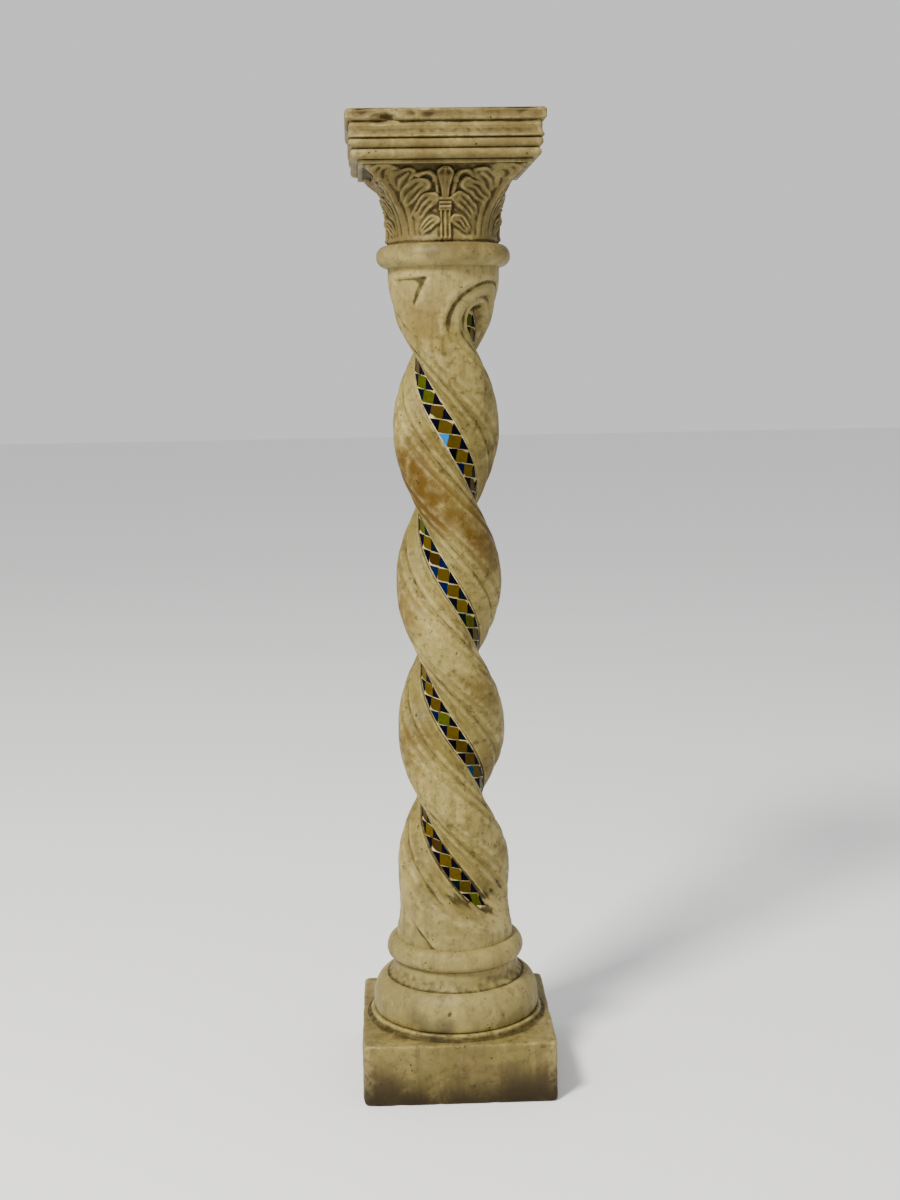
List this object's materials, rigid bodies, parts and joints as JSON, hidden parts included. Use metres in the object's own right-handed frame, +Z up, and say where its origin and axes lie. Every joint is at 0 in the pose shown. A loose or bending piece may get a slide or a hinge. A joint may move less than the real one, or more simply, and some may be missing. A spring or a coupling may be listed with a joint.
{
  "type": "barley twist column",
  "caption": "Twisted column with a moulded base, square plinth and leaf capital, its spiral grooves inlaid with gold and blue glass mosaic.",
  "frame": {"origin": "middle of the plinth's underside, where the column stands", "axes": "+Z up the column's axis, front towards -Y, +X to the right seen from the front"},
  "size_m": [0.2, 0.2, 0.9908],
  "materials": {
    "stone": "waxed and worn, with amber and brown patina",
    "glass_mosaic": "glossy squares of gold and dark blue glass in cream grout"
  },
  "bodies": {
    "root": {"column": "stone", "mosaic_band_1": "glass_mosaic", "mosaic_band_2": "glass_mosaic"}
  },
  "joints": []
}
